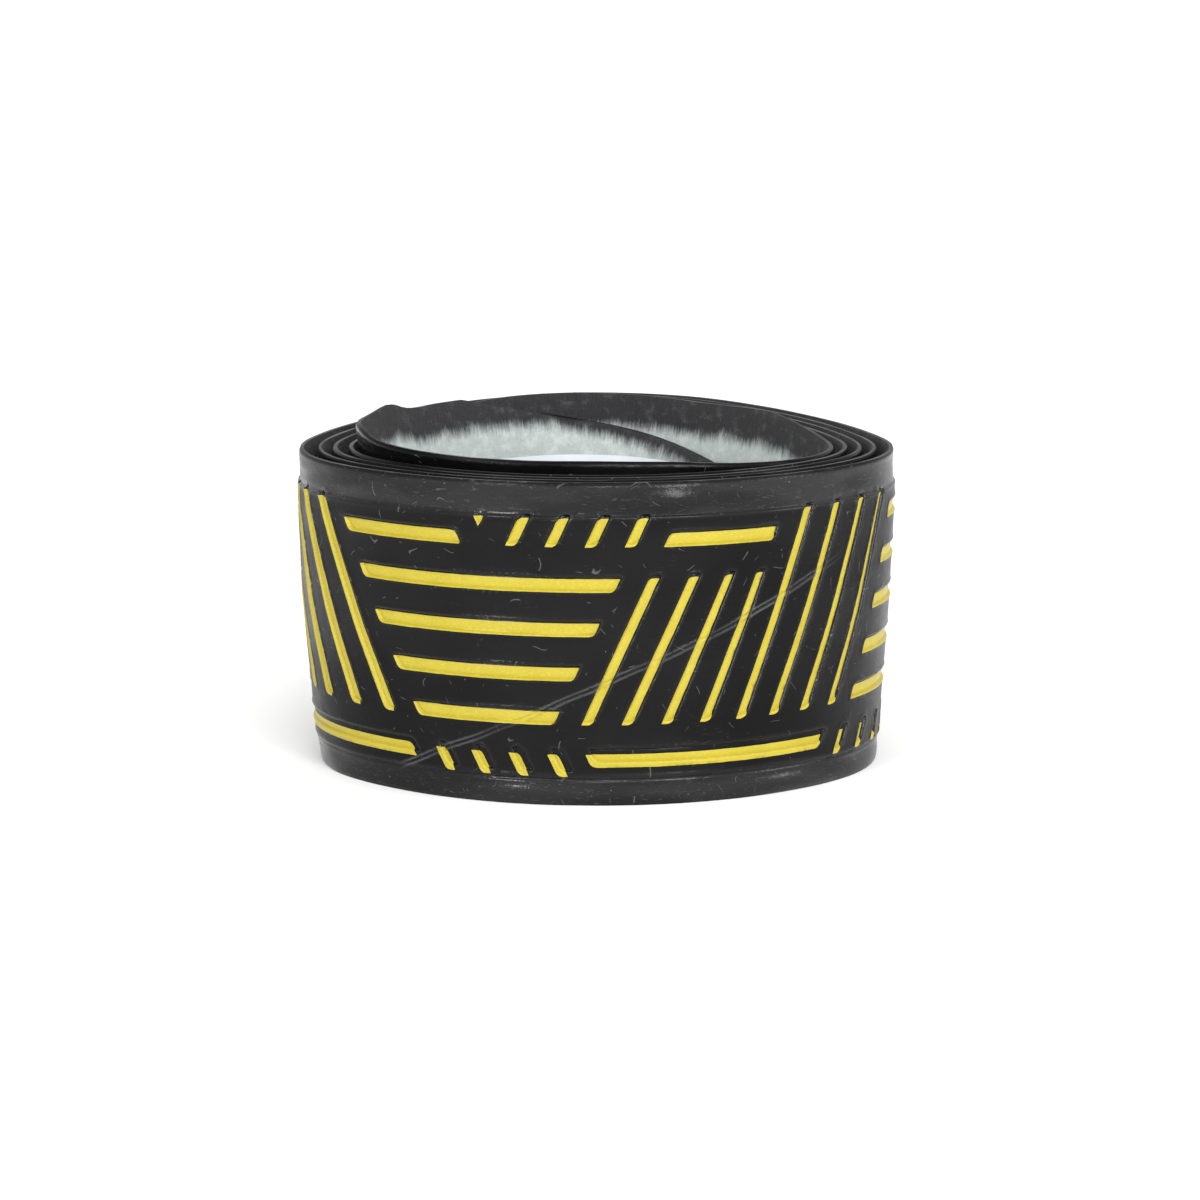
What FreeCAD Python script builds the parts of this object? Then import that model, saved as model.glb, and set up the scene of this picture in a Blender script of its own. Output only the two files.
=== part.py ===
import FreeCAD, Part
import math
import os

import Sketcher

# Roll of racket grip tape: one strip, wound on edge into an egg-shaped coil.
# X runs across the roll, Y from front to back, Z up along the coil's axis.
# The strip runs counter-clockwise from its tapered inner tip to its square outer end,
# and every length along it is measured on the film's outer face.

SIZES = [
    ("strip_width", 28.0),
    ("pitch", 1.45),
    ("film_thickness", 0.40),
    ("border_recess", 0.25),
    ("border_film", 0.25),
    ("bottom_border", 2.46),
    ("top_border", 2.95),
    ("felt_inner", 1.14),
    ("felt_edge", 0.80),
    ("skive_width", 3.4),
    ("adhesive_thickness", 0.05),
    ("adhesive_width", 16.0),
    ("liner_thickness", 0.08),
    ("liner_width", 16.6),
    ("groove_depth", 0.14),
    ("inlay_thickness", 0.10),
    ("front_radius", 28.2),
    ("corner_radius", 17.4),
    ("back_radius", 17.4),
    ("loose_corner_radius", 11.7),
    ("loose_front_radius", 34.5),
    ("tip_width", 12.4),
    ("taper_length", 88.5),
    ("tail_segment", 10.0),
    ("tail_gap", 0.25),
]
SIZE = dict(SIZES)
TAIL_SEGMENTS = 5
WHOLE_TURNS = 5

# Directions of the outward normal where one arc meets the next, in degrees.
FRONT_RIGHT = 322.0
RIGHT_SIDE = 373.0
BACK_RIGHT = 403.0
BACK_LEFT = 497.0
LEFT_SIDE = 527.0
FRONT_LEFT = 578.0
LOOSE_RIGHT = 291.5
LOOSE_LEFT = 607.5
OUTER_END = 455.0

doc = FreeCAD.newDocument("grip_tape_roll")
sheet = doc.addObject("Spreadsheet::Sheet", "sizes")
for row, (alias, value) in enumerate(SIZES, start=1):
    sheet.set("A%d" % row, alias)
    sheet.set("B%d" % row, str(value))
    sheet.setAlias("B%d" % row, alias)
doc.recompute()


def direction(angle):
    return FreeCAD.Vector(math.cos(math.radians(angle)), math.sin(math.radians(angle)), 0)


def solve_pair(a, b, target):
    """Find x and y so that x * a + y * b is the target vector in the plan."""
    det = a.x * b.y - a.y * b.x
    x = (target.x * b.y - target.y * b.x) / det
    y = (a.x * target.y - a.y * target.x) / det
    return x, y


def oval_arcs():
    """Six tangent arcs of the outer turn, closed so that each turn grows by one pitch."""
    pitch = SIZE["pitch"]
    front = SIZE["front_radius"]
    right_corner = SIZE["corner_radius"]
    left_corner = SIZE["corner_radius"] + pitch
    back = SIZE["back_radius"]
    joints = [direction(angle) for angle in (FRONT_RIGHT, RIGHT_SIDE, BACK_RIGHT,
                                             BACK_LEFT, LEFT_SIDE, FRONT_LEFT)]
    known = (joints[0] * (front - right_corner) + joints[1] * right_corner
             - joints[2] * back + joints[3] * back
             - joints[4] * left_corner + joints[5] * (left_corner - front - pitch))
    right_side, left_side = solve_pair(joints[2] - joints[1], joints[4] - joints[3],
                                       known * -1.0)
    radii = [front, right_corner, right_side, back, left_side, left_corner]
    centres = [FreeCAD.Vector(0, 0, 0)]
    for i in range(5):
        centres.append(centres[i] + joints[i] * (radii[i] - radii[i + 1]))
    width_middle = (centres[1].x + right_corner + centres[5].x - left_corner + pitch) / 2
    depth_middle = (centres[3].y + back + centres[0].y - front) / 2
    middle = FreeCAD.Vector(width_middle, depth_middle, 0)
    return radii, [centre - middle for centre in centres]


def strip_arcs():
    """The film's outer face as (centre, radius, start, end), from inner tip to outer end."""
    radii, centres = oval_arcs()
    pitch = SIZE["pitch"]
    inner = WHOLE_TURNS * pitch
    side_radius = radii[2] - inner + pitch
    corner = SIZE["loose_corner_radius"]
    front = SIZE["loose_front_radius"]
    corner_centre = centres[2] + direction(RIGHT_SIDE) * (side_radius - corner)
    front_centre = corner_centre + direction(LOOSE_RIGHT) * (corner - front)
    back_radius = radii[3] - inner
    left_corner, left_side = solve_pair(
        direction(LEFT_SIDE) - direction(LOOSE_LEFT),
        direction(BACK_LEFT) - direction(LEFT_SIDE),
        centres[3] - front_centre - direction(LOOSE_LEFT) * front
        + direction(BACK_LEFT) * back_radius)
    left_centre = front_centre + direction(LOOSE_LEFT) * (front - left_corner)
    side_centre = left_centre + direction(LEFT_SIDE) * (left_corner - left_side)

    arcs = [(front_centre, front - pitch, LOOSE_LEFT - 360, LOOSE_RIGHT),
            (corner_centre, corner - pitch, LOOSE_RIGHT, RIGHT_SIDE),
            (centres[2], radii[2] - inner, RIGHT_SIDE, BACK_RIGHT),
            (centres[3], back_radius, BACK_RIGHT, BACK_LEFT),
            (side_centre, left_side, BACK_LEFT, LEFT_SIDE),
            (left_centre, left_corner, LEFT_SIDE, LOOSE_LEFT),
            (front_centre, front, LOOSE_LEFT, LOOSE_RIGHT + 360),
            (corner_centre, corner, LOOSE_RIGHT + 360, RIGHT_SIDE + 360)]
    for turn in range(WHOLE_TURNS - 1, 0, -1):
        less = turn * pitch
        arcs += [(centres[2], radii[2] - less, RIGHT_SIDE, BACK_RIGHT),
                 (centres[3], radii[3] - less, BACK_RIGHT, BACK_LEFT),
                 (centres[4], radii[4] - less, BACK_LEFT, LEFT_SIDE),
                 (centres[5], radii[5] - less, LEFT_SIDE, FRONT_LEFT),
                 (centres[0], radii[0] - less + pitch, FRONT_LEFT, FRONT_RIGHT + 360),
                 (centres[1], radii[1] - less + pitch, FRONT_RIGHT + 360, RIGHT_SIDE + 360)]
    arcs += [(centres[2], radii[2], RIGHT_SIDE, BACK_RIGHT),
             (centres[3], radii[3], BACK_RIGHT, OUTER_END)]
    return arcs


ARCS = strip_arcs()


def arc_length(arc):
    return arc[1] * math.radians(arc[3] - arc[2])


STRIP_LENGTH = sum(arc_length(arc) for arc in ARCS)
TAIL_START = STRIP_LENGTH - TAIL_SEGMENTS * SIZE["tail_segment"]


def cut_arcs(start, end):
    """The arcs of the strip between two lengths along it."""
    found = []
    here = 0.0
    for centre, radius, first, last in ARCS:
        length = radius * math.radians(last - first)
        low = max(start, here)
        high = min(end, here + length)
        if high - low > 1e-6:
            found.append((centre, radius, first + math.degrees((low - here) / radius),
                          first + math.degrees((high - here) / radius)))
        here += length
    return found


def point_at(length):
    """The point on the film's outer face, and the direction of its normal in degrees."""
    here = 0.0
    for centre, radius, first, last in ARCS:
        span = radius * math.radians(last - first)
        if length <= here + span + 1e-9:
            break
        here += span
    angle = first + math.degrees((length - here) / radius)
    return centre + direction(angle) * radius, angle


def length_at(arc_index, angle):
    """The length along the strip at a normal direction on one of its arcs."""
    before = sum(arc_length(arc) for arc in ARCS[:arc_index])
    return before + ARCS[arc_index][1] * math.radians(angle - ARCS[arc_index][2])


def polygon(sketch, points):
    """Add a closed polygon to a sketch, and give the number of its first side."""
    first = sketch.GeometryCount
    count = len(points)
    for i in range(count):
        start = FreeCAD.Vector(points[i][0], points[i][1], 0)
        end = FreeCAD.Vector(points[(i + 1) % count][0], points[(i + 1) % count][1], 0)
        sketch.addGeometry(Part.LineSegment(start, end), False)
    for i in range(count):
        after = (i + 1) % count
        sketch.addConstraint(Sketcher.Constraint("Coincident", first + i, 2, first + after, 1))
    return first


def section(body, name, start, corners):
    """A sketch across the strip: X outward from the film's face, Y up the strip's width."""
    point, angle = point_at(start)
    sketch = body.newObject("Sketcher::SketchObject", name)
    outward = direction(angle)
    up = FreeCAD.Vector(0, 0, 1)
    sketch.Placement = FreeCAD.Placement(
        point, FreeCAD.Rotation(outward, up, outward.cross(up), "XYZ"))
    values = [(value_of(out), value_of(height)) for out, height in corners]
    first = polygon(sketch, values)
    for i, (out, height) in enumerate(corners):
        for axis, text, value in (("DistanceX", out, values[i][0]),
                                  ("DistanceY", height, values[i][1])):
            if abs(value) < 1e-9:
                other = -2 if axis == "DistanceX" else -1
                sketch.addConstraint(Sketcher.Constraint("PointOnObject", first + i, 1, other))
                continue
            index = sketch.addConstraint(
                Sketcher.Constraint(axis, -1, 1, first + i, 1, value))
            sketch.setExpression("Constraints[%d]" % index, text)
    return sketch


def value_of(text):
    """The number that an expression over the sheet's cells comes to."""
    for alias in sorted(SIZE, key=len, reverse=True):
        text = text.replace("sizes." + alias, "(%r)" % SIZE[alias])
    total = 0.0
    for term in text.replace(" - ", " + -").split(" + "):
        product = 1.0
        for factor in term.split(" * "):
            sign = -1.0 if factor.startswith("-") else 1.0
            product *= sign * float(factor.lstrip("-").strip("()"))
        total += product
    return total


def sweep(name, start, end, corners):
    """Sweep a section of the strip along it between two lengths."""
    body = doc.addObject("PartDesign::Body", name)
    body.Label = name
    spine = body.newObject("Sketcher::SketchObject", name + "_path")
    spine.AttachmentSupport = (plane(body, "XY_Plane"), "")
    spine.MapMode = "FlatFace"
    arcs = cut_arcs(start, end)
    for centre, radius, first, last in arcs:
        circle = Part.Circle(centre, FreeCAD.Vector(0, 0, 1), radius)
        spine.addGeometry(Part.ArcOfCircle(circle, math.radians(first), math.radians(last)),
                          False)
    profile = section(body, name + "_section", start, corners)
    doc.recompute()
    pipe = body.newObject("PartDesign::AdditivePipe", name + "_sweep")
    pipe.Profile = profile
    pipe.Spine = (spine, ["Edge%d" % (i + 1) for i in range(len(arcs))])
    pipe.Mode = "Standard"
    body.Tip = pipe
    return body


def plane(body, role):
    for feature in body.Origin.OriginFeatures:
        if feature.Role == role:
            return feature
    raise ValueError("no origin plane " + role)


WIDTH = "sizes.strip_width"
EDGE = "-sizes.border_recess"
FILM_BACK = "-sizes.film_thickness"
BORDER_BACK = "-sizes.border_recess - sizes.border_film"
TOP_LINE = "sizes.strip_width - sizes.top_border"
FILM_INSIDE = [
    (BORDER_BACK, WIDTH),
    (BORDER_BACK, TOP_LINE + " + 0.25"),
    (FILM_BACK, TOP_LINE + " - 0.1"),
    (FILM_BACK, "sizes.bottom_border + 0.1"),
    (BORDER_BACK, "sizes.bottom_border - 0.25"),
    (BORDER_BACK, "0.0"),
]
FILM_OUTSIDE = [
    (EDGE, "0.0"),
    (EDGE, "sizes.bottom_border - 0.25"),
    ("0.0", "sizes.bottom_border"),
    ("0.0", TOP_LINE),
    (EDGE, TOP_LINE + " + 0.25"),
    (EDGE, WIDTH),
]
FILM_SECTION = FILM_OUTSIDE + FILM_INSIDE
FELT_SECTION = FILM_INSIDE[::-1] + [
    ("-sizes.felt_edge", WIDTH),
    ("-sizes.felt_inner", "sizes.strip_width - sizes.skive_width"),
    ("-sizes.felt_inner", "sizes.skive_width"),
    ("-sizes.felt_edge", "0.0"),
]


def band_section(outer, inner, half_width):
    low = "0.5 * sizes.strip_width - 0.5 * " + half_width
    high = "0.5 * sizes.strip_width + 0.5 * " + half_width
    return [(outer, low), (outer, high), (inner, high), (inner, low)]


ADHESIVE_BACK = "-sizes.felt_inner - sizes.adhesive_thickness"
ADHESIVE_SECTION = band_section("-sizes.felt_inner", ADHESIVE_BACK, "sizes.adhesive_width")
LINER_SECTION = band_section(ADHESIVE_BACK, ADHESIVE_BACK + " - sizes.liner_thickness",
                             "sizes.liner_width")

PATTERN = {
    "period": 96.1,
    "centre": -9.95,
    "lean": 0.45,
    "narrow_half": 6.27,
    "wide_half": 11.95,
    "gap": 2.37,
    "stroke": 0.9,
    "stroke_pitch": 3.45,
    "bar_height": 1.12,
    "row_pitch": 3.84,
    "row_bottom": 7.1,
    "row_top": 19.74,
    "upper_bar": 22.45,
    "lower_bar": 3.4,
    "upper_limit": 24.95,
    "lower_limit": 2.56,
    "dash_bottom": 22.5,
    "dash_top": 4.5,
}


def stroke(left, low, high, lean, start_height):
    """A leaning stroke whose left edge stands at a place at one height."""
    width = PATTERN["stroke"]
    a = left + lean * (low - start_height)
    b = left + lean * (high - start_height)
    return [(a, low), (a + width, low), (b + width, high), (b, high)]


def bar(left, right, low, left_lean, right_lean):
    """A level bar with cut ends."""
    tall = PATTERN["bar_height"]
    return [(left, low), (right, low), (right + right_lean * tall, low + tall),
            (left + left_lean * tall, low + tall)]


def pattern_period(centre):
    """The bars of one repeat, as polygons of (along, height), round its inverted trapezoid."""
    p = PATTERN
    lean, gap = p["lean"], p["gap"]
    row0 = p["row_bottom"]
    half_period = p["period"] / 2
    upright = centre + half_period
    rise = p["upper_bar"] - row0
    shapes = []
    for row in range(4):
        low = row0 + row * p["row_pitch"]
        grow = lean * (low - row0)
        shapes.append(bar(centre - p["narrow_half"] - grow, centre + p["narrow_half"] + grow,
                          low, -lean, lean))
        shapes.append(bar(upright - p["wide_half"] + grow, upright + p["wide_half"] - grow,
                          low, lean, -lean))
    for start, way in ((centre + p["narrow_half"] + gap, 1),
                       (upright + p["wide_half"] + gap, -1)):
        for i in range(8):
            left = start + i * p["stroke_pitch"]
            top = p["row_top"] if i < 4 else p["upper_limit"]
            shapes.append(stroke(left, row0, top, way * lean, row0))
        end = start + 3 * p["stroke_pitch"] + p["stroke"]
        shapes.append(bar(start + way * lean * rise, end + way * lean * rise,
                          p["upper_bar"], way * lean, way * lean))
    reach = p["narrow_half"] + lean * rise
    shapes.append(bar(centre - reach, centre - 1.7, p["upper_bar"], -lean, -lean))
    shapes.append(triangle(centre, p["upper_limit"], -0.9))
    for i in range(4):
        left = centre + reach - p["stroke"] - 0.96 * p["stroke_pitch"] * i
        shapes.append(stroke(left, p["dash_bottom"], p["upper_limit"], lean,
                             p["dash_bottom"]))
    reach = p["wide_half"] - lean * rise
    shapes.append(bar(upright - reach, upright + reach, p["upper_bar"], lean, -lean))
    for i in range(4):
        left = centre - 0.4 + (i - 1.5) * p["stroke_pitch"]
        shapes.append(stroke(left, p["lower_limit"], p["dash_top"], -lean, p["dash_top"]))
    under = p["lower_bar"]
    shapes.append(bar(centre + 9.5, upright - 15.9, under, -lean, lean))
    for i in range(4):
        left = upright - 13.1 + i * p["stroke_pitch"]
        shapes.append(stroke(left, p["lower_limit"], p["dash_top"], lean, p["dash_top"]))
    shapes.append(triangle(upright + 0.6, p["lower_limit"], 0.9))
    shapes.append(bar(upright + 2.3, upright + 13.4, under, -lean, -lean))
    shapes.append(bar(upright + 15.8, centre + p["period"] - 7.3, under, -lean, -lean))
    return shapes


def triangle(middle, base, tall):
    return [(middle - 0.31, base), (middle + 0.31, base), (middle, base + tall)]


FRONT_ARC = 8 + 6 * (WHOLE_TURNS - 2) + 4
BACK_ARC = FRONT_ARC - 3
FRONT_MIDDLE = length_at(FRONT_ARC, 630.0)
INLAY_START = length_at(BACK_ARC, OUTER_END + 6)
VIEWS = [("front", 270.0), ("right", 0.0), ("back", 90.0), ("left", 180.0)]


def bar_sketches():
    """One sketch for each side of the roll, holding the bars that face that way."""
    outlines = {name: [] for name, angle in VIEWS}
    first = int((INLAY_START - FRONT_MIDDLE) // PATTERN["period"]) - 1
    last = int((STRIP_LENGTH - FRONT_MIDDLE) // PATTERN["period"]) + 1
    for repeat in range(first, last + 1):
        for shape in pattern_period(PATTERN["centre"] + repeat * PATTERN["period"]):
            middle = sum(x for x, z in shape) / len(shape) + FRONT_MIDDLE
            ends = [x + FRONT_MIDDLE for x, z in shape]
            if min(ends) < INLAY_START + 0.5 or max(ends) > STRIP_LENGTH - 0.5:
                continue
            facing = point_at(middle)[1] % 360
            for name, angle in VIEWS:
                if abs((facing - angle + 180) % 360 - 180) <= 45:
                    outlines[name].append(shape)
                    break
    solids = []
    for name, angle in VIEWS:
        outward = direction(angle)
        across = direction(angle + 90)
        sketch = doc.addObject("Sketcher::SketchObject", "bars_" + name)
        up = FreeCAD.Vector(0, 0, 1)
        centre = FreeCAD.Vector(0, 0, 0)
        sketch.Placement = FreeCAD.Placement(
            centre, FreeCAD.Rotation(across, up, outward, "XYZ"))
        for shape in outlines[name]:
            flat = [((point_at(x + FRONT_MIDDLE)[0] - centre).dot(across), z)
                    for x, z in shape]
            polygon(sketch, flat)
        block = doc.addObject("Part::Extrusion", "bar_blocks_" + name)
        block.Base = sketch
        block.DirMode = "Custom"
        block.Dir = outward
        block.LengthFwd = 60
        block.Solid = True
        solids.append(block)
    doc.recompute()
    blocks = doc.addObject("Part::Compound", "bar_blocks")
    blocks.Links = solids
    doc.recompute()
    return blocks


def taper(body):
    """Cut the inner end of a layer along a straight slope, from the tip to full width."""
    spine = body.newObject("Sketcher::SketchObject", body.Label + "_taper_path")
    spine.AttachmentSupport = (plane(body, "XY_Plane"), "")
    spine.MapMode = "FlatFace"
    arcs = cut_arcs(0.0, SIZE["taper_length"])
    for centre, radius, first, last in arcs:
        circle = Part.Circle(centre, FreeCAD.Vector(0, 0, 1), radius)
        spine.addGeometry(Part.ArcOfCircle(circle, math.radians(first), math.radians(last)),
                          False)
    sections = []
    for place, bottom in ((0.0, "sizes.tip_width"), (SIZE["taper_length"], WIDTH)):
        sections.append(section(body, "%s_taper_%d" % (body.Label, len(sections)), place, [
            ("-1.6", bottom), ("0.08", bottom),
            ("0.08", WIDTH + " + 1.0"), ("-1.6", WIDTH + " + 1.0")]))
    doc.recompute()
    cut = body.newObject("PartDesign::SubtractivePipe", body.Label + "_taper")
    cut.Profile = sections[0]
    cut.Spine = (spine, ["Edge%d" % (i + 1) for i in range(len(arcs))])
    cut.Sections = [(sections[1], [""])]
    cut.Transformation = "Multisection"
    cut.Mode = "Standard"
    body.Tip = cut


def strip_piece(suffix, start, end, blocks):
    """The layers of the strip between two lengths along it."""
    pieces = []
    for name, corners in (("felt", FELT_SECTION), ("adhesive", ADHESIVE_SECTION),
                          ("liner", LINER_SECTION)):
        body = sweep(name + suffix, start, end, corners)
        if start == 0.0:
            taper(body)
        pieces.append(body)
    blank = sweep("film_blank" + suffix, start, end, FILM_SECTION)
    if start == 0.0:
        taper(blank)
    low = max(start, INLAY_START)
    groove = sweep("groove_layer" + suffix, low, end, layer("0.1", "-sizes.groove_depth"))
    fill = sweep("inlay_layer" + suffix, low, end,
                 layer("sizes.inlay_thickness - sizes.groove_depth", "-sizes.groove_depth"))
    doc.recompute()
    grooves = doc.addObject("Part::Common", "grooves" + suffix)
    grooves.Base, grooves.Tool = groove, blocks
    film = doc.addObject("Part::Cut", "film" + suffix)
    film.Base, film.Tool = blank, grooves
    inlay = doc.addObject("Part::Common", "inlay" + suffix)
    inlay.Base, inlay.Tool = fill, blocks
    return pieces + [film, inlay]


def layer(outer, inner):
    low = "sizes.bottom_border"
    return [(outer, low), (outer, TOP_LINE), (inner, TOP_LINE), (inner, low)]


bars = bar_sketches()
half_gap = SIZE["tail_gap"] / 2
pieces = strip_piece("", 0.0, TAIL_START - half_gap, bars)
for number in range(TAIL_SEGMENTS):
    begin = TAIL_START + number * SIZE["tail_segment"]
    finish = begin + SIZE["tail_segment"]
    if number < TAIL_SEGMENTS - 1:
        finish -= half_gap
    pieces += strip_piece("_tail_%d" % (number + 1), begin + half_gap, finish, bars)
doc.recompute()

os.makedirs("parts", exist_ok=True)
for thing in doc.Objects:
    if "Invalid" in thing.State or "Error" in thing.State:
        raise RuntimeError(thing.Name + " failed")
for piece in pieces:
    shape = piece.Shape
    if shape.isNull() or not shape.isValid():
        raise RuntimeError(piece.Label + " has no valid shape")
    shape.exportStep("parts/%s.step" % piece.Label)
    print(piece.Label, len(shape.Solids), round(shape.Volume, 1))
print("strip", round(STRIP_LENGTH, 1))
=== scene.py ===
import math

import bpy
import numpy as np
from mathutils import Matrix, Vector
from mathutils.geometry import delaunay_2d_cdt


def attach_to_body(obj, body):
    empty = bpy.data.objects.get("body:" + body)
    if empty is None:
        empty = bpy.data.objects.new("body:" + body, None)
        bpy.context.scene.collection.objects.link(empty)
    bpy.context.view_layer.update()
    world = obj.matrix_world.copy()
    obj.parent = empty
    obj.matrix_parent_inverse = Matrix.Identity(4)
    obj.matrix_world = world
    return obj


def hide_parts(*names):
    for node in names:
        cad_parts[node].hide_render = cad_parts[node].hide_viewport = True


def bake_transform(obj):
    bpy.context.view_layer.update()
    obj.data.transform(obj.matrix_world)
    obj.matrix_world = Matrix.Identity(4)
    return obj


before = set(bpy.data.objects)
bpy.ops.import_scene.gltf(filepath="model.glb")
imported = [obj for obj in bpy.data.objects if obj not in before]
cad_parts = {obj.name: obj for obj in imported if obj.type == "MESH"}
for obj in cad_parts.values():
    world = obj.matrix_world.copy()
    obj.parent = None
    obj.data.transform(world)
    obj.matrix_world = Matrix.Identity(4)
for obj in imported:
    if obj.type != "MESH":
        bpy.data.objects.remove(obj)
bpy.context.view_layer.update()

# ---------------------------------------------------------------- the strip, in millimetres
# The plan is a chain of arcs. Angles are those of the outward normal, in degrees, where one
# arc meets the next. Depths are measured from the film's reference face, negative inwards.
WIDTH = 28.0
PITCH = 1.45
FRONT_RADIUS = 28.2
CORNER_RADIUS = 17.4
BACK_RADIUS = 17.4
LOOSE_CORNER = 11.7
LOOSE_FRONT = 34.5
TURNS = 5
FRONT_RIGHT, RIGHT_SIDE, BACK_RIGHT = 322.0, 373.0, 403.0
BACK_LEFT, LEFT_SIDE, FRONT_LEFT = 497.0, 527.0, 578.0
LOOSE_RIGHT, LOOSE_LEFT, OUTER_END = 291.5, 607.5, 455.0
TIP_WIDTH = 12.4
TAPER = 88.5
SEGMENT = 10.0
SEGMENTS = 5
TAPER_COS = 0.985
# The plain borders end at these heights and lie this much lower than the patterned middle.
BOTTOM_LINE = 2.46
TOP_LINE = WIDTH - 2.95
RECESS = 0.18
# The coil widens upwards by this share of its size, about a line at this Y.
CONE = 0.041
CONE_AXIS_Y = -6.7
# Each bar is sunk this deep, with a wall this wide, a raised lip round it and a domed floor.
GROOVE = 0.24
WALL = 0.12
LIP, LIP_REACH = 0.055, 0.16
CROWN, CROWN_REACH = 0.07, 0.42
# The outermost length of the strip that is seen and gets the finer mesh.
DETAILED = 190.0
# The layers' faces, and half the width of the two narrow ones.
FILM_BACK, FILM_EDGE_BACK = -0.50, -0.06
INK_FACE, INK_BACK = 0.014, -0.012
ADHESIVE_FACE, ADHESIVE_BACK, ADHESIVE_HALF = -1.12, -1.185, 8.0
LINER_FACE, LINER_BACK, LINER_HALF = -1.19, -1.27, 8.3
# One millimetre in metres.
MM = 0.001


def ease(t):
    """A smooth step from 0 to 1."""
    t = np.clip(t, 0, 1)
    return t * t * (3 - 2 * t)


def direction(angle):
    """The unit vector at an angle in degrees."""
    a = np.radians(angle)
    return np.array([math.cos(a), math.sin(a)])


def solve_pair(a, b, target):
    """The two numbers that make a and b add up to the target."""
    return np.linalg.solve(np.stack([a, b], 1), target)


def oval_arcs():
    """The outer turn's six radii and centres, centred on the plan."""
    left = CORNER_RADIUS + PITCH
    u = [direction(a) for a in (FRONT_RIGHT, RIGHT_SIDE, BACK_RIGHT, BACK_LEFT, LEFT_SIDE,
                                FRONT_LEFT)]
    known = (u[0] * (FRONT_RADIUS - CORNER_RADIUS) + u[1] * CORNER_RADIUS
             - u[2] * BACK_RADIUS + u[3] * BACK_RADIUS - u[4] * left
             + u[5] * (left - FRONT_RADIUS - PITCH))
    right_side, left_side = solve_pair(u[2] - u[1], u[4] - u[3], -known)
    radii = [FRONT_RADIUS, CORNER_RADIUS, right_side, BACK_RADIUS, left_side, left]
    centres = [np.zeros(2)]
    for i in range(5):
        centres.append(centres[i] + u[i] * (radii[i] - radii[i + 1]))
    middle = np.array([(centres[1][0] + CORNER_RADIUS + centres[5][0] - left + PITCH) / 2,
                       (centres[3][1] + BACK_RADIUS + centres[0][1] - FRONT_RADIUS) / 2])
    return radii, [c - middle for c in centres]


def strip_arcs():
    """The film's outer face as arcs (centre, radius, first, last), inner tip to outer end."""
    radii, c = oval_arcs()
    inner = TURNS * PITCH
    side_radius = radii[2] - inner + PITCH
    corner_c = c[2] + direction(RIGHT_SIDE) * (side_radius - LOOSE_CORNER)
    front_c = corner_c + direction(LOOSE_RIGHT) * (LOOSE_CORNER - LOOSE_FRONT)
    back_radius = radii[3] - inner
    left_corner, left_side = solve_pair(
        direction(LEFT_SIDE) - direction(LOOSE_LEFT),
        direction(BACK_LEFT) - direction(LEFT_SIDE),
        c[3] - front_c - direction(LOOSE_LEFT) * LOOSE_FRONT
        + direction(BACK_LEFT) * back_radius)
    left_c = front_c + direction(LOOSE_LEFT) * (LOOSE_FRONT - left_corner)
    side_c = left_c + direction(LEFT_SIDE) * (left_corner - left_side)
    arcs = [(front_c, LOOSE_FRONT - PITCH, LOOSE_LEFT - 360, LOOSE_RIGHT),
            (corner_c, LOOSE_CORNER - PITCH, LOOSE_RIGHT, RIGHT_SIDE),
            (c[2], radii[2] - inner, RIGHT_SIDE, BACK_RIGHT),
            (c[3], back_radius, BACK_RIGHT, BACK_LEFT),
            (side_c, left_side, BACK_LEFT, LEFT_SIDE),
            (left_c, left_corner, LEFT_SIDE, LOOSE_LEFT),
            (front_c, LOOSE_FRONT, LOOSE_LEFT, LOOSE_RIGHT + 360),
            (corner_c, LOOSE_CORNER, LOOSE_RIGHT + 360, RIGHT_SIDE + 360)]
    for turn in range(TURNS - 1, 0, -1):
        less = turn * PITCH
        arcs += [(c[2], radii[2] - less, RIGHT_SIDE, BACK_RIGHT),
                 (c[3], radii[3] - less, BACK_RIGHT, BACK_LEFT),
                 (c[4], radii[4] - less, BACK_LEFT, LEFT_SIDE),
                 (c[5], radii[5] - less, LEFT_SIDE, FRONT_LEFT),
                 (c[0], radii[0] - less + PITCH, FRONT_LEFT, FRONT_RIGHT + 360),
                 (c[1], radii[1] - less + PITCH, FRONT_RIGHT + 360, RIGHT_SIDE + 360)]
    return arcs + [(c[2], radii[2], RIGHT_SIDE, BACK_RIGHT),
                   (c[3], radii[3], BACK_RIGHT, OUTER_END)]


ARCS = strip_arcs()
STARTS = np.concatenate([[0.0], np.cumsum([r * math.radians(b - a) for _, r, a, b in ARCS])])
LENGTH = float(STARTS[-1])
TAIL = LENGTH - SEGMENT * SEGMENTS
FRONT_ARC = 8 + 6 * (TURNS - 2) + 4
FRONT = float(STARTS[FRONT_ARC] + ARCS[FRONT_ARC][1] * math.radians(630 - ARCS[FRONT_ARC][2]))


def smooth_path():
    """Points and normals every half millimetre, with the joins between arcs eased."""
    s = np.arange(-8.0, LENGTH + 8.0, 0.5)
    i = np.clip(np.searchsorted(STARTS, s, side="right") - 1, 0, len(ARCS) - 1)
    centre = np.array([a[0] for a in ARCS])[i]
    radius = np.array([a[1] for a in ARCS])[i]
    first = np.radians([a[2] for a in ARCS])[i]
    angle = first + (s - STARTS[i]) / radius
    p = centre + radius[:, None] * np.stack([np.cos(angle), np.sin(angle)], 1)
    t = np.arange(-12, 13) * 0.5
    kernel = np.exp(-0.5 * (t / 1.6) ** 2)
    kernel /= kernel.sum()
    q = np.stack([np.convolve(np.pad(p[:, k], 12, mode="reflect", reflect_type="odd"),
                              kernel, mode="valid") for k in range(2)], 1)
    d = np.gradient(q, axis=0)
    n = np.stack([d[:, 1], -d[:, 0]], 1) / np.linalg.norm(d, axis=1)[:, None]
    return s, q, n


PATH_S, PATH_P, PATH_N = smooth_path()


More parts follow.
